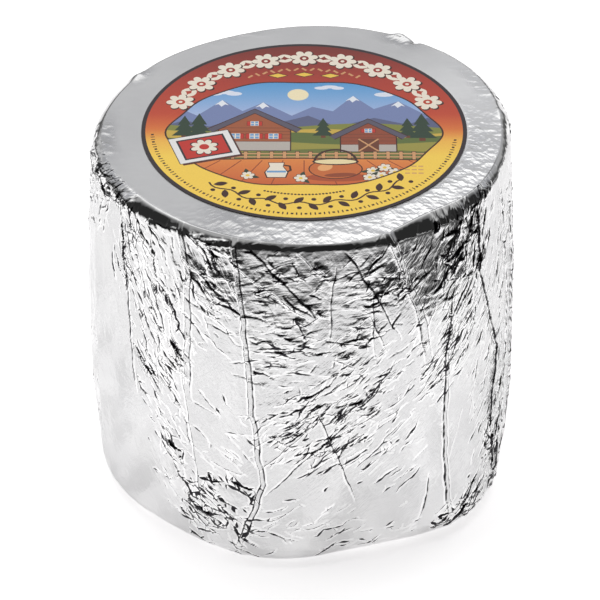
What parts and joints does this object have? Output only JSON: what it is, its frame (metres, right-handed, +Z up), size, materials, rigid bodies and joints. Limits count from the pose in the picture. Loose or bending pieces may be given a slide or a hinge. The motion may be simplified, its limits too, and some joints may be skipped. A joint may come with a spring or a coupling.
{
  "type": "foil-wrapped cheese wheel",
  "caption": "Whole drum-shaped wheel of hard cheese in pleated silver foil, with a round printed paper label on its flat top.",
  "frame": {"origin": "centre of the base, on the surface that the wheel stands on", "axes": "+Z up through the middle of the flat top, -Y towards the front, +X to the right seen from the front"},
  "size_m": [0.1067, 0.1068, 0.0943],
  "materials": {
    "foil": "bright thin foil pressed tightly round the cheese, with long pleats, short creases and fine crumples",
    "label_paper": null
  },
  "bodies": {
    "root": {"wrapped_wheel": "foil", "label": "label_paper"}
  },
  "joints": []
}
